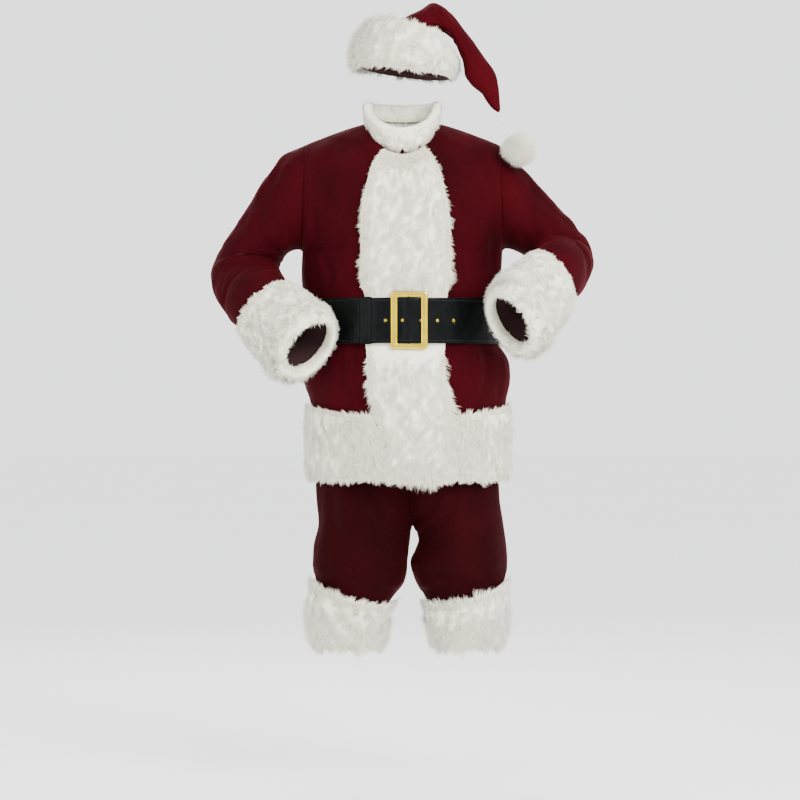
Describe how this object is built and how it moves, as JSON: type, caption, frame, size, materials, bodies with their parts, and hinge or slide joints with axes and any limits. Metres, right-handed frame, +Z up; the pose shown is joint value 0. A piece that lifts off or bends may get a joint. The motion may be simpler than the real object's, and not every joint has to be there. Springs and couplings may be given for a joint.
{
  "type": "santa suit, worn and hollow: jacket with belt, trousers and stocking hat",
  "caption": "A dark red velvet santa suit with thick ivory fur trim, a wide black belt with a gold buckle, and a stocking hat with a pompom, worn and hollow",
  "frame": {"origin": "the base of the neck, midway between the shoulders, where the wearer carries the jacket", "axes": "+Z up, -Y the way the wearer faces, +X the wearer's left, which is on the right in the picture"},
  "size_m": [0.9168, 0.532, 1.5525],
  "materials": {
    "velvet": "dark red short-pile velvet with a soft sheen",
    "fur": "long ivory plush fur",
    "black_leather": "glossy black patent strap",
    "gold_metal": "bright gold-coloured cast metal",
    "thread": "thin white cord"
  },
  "bodies": {
    "root": {"jacket_front_left": "velvet", "jacket_front_right": "velvet", "jacket_back": "velvet", "sleeve_left": "velvet", "sleeve_right": "velvet", "collar_fur": "fur", "front_band_fur": "fur", "hem_fur": "fur", "sleeve_cuff_fur_left": "fur", "sleeve_cuff_fur_right": "fur", "belt_strap": "black_leather", "belt_keeper": "black_leather", "buckle_frame": "gold_metal", "buckle_bar": "gold_metal", "trousers_front_left": "velvet", "trousers_front_right": "velvet", "trousers_back_left": "velvet", "trousers_back_right": "velvet", "waistband": "velvet", "leg_cuff_fur_left": "fur", "leg_cuff_fur_right": "fur", "hat_crown_front": "velvet", "hat_crown_back": "velvet", "hat_band_fur": "fur", "pompom_cord": "thread", "pompom": "fur"}
  },
  "joints": []
}
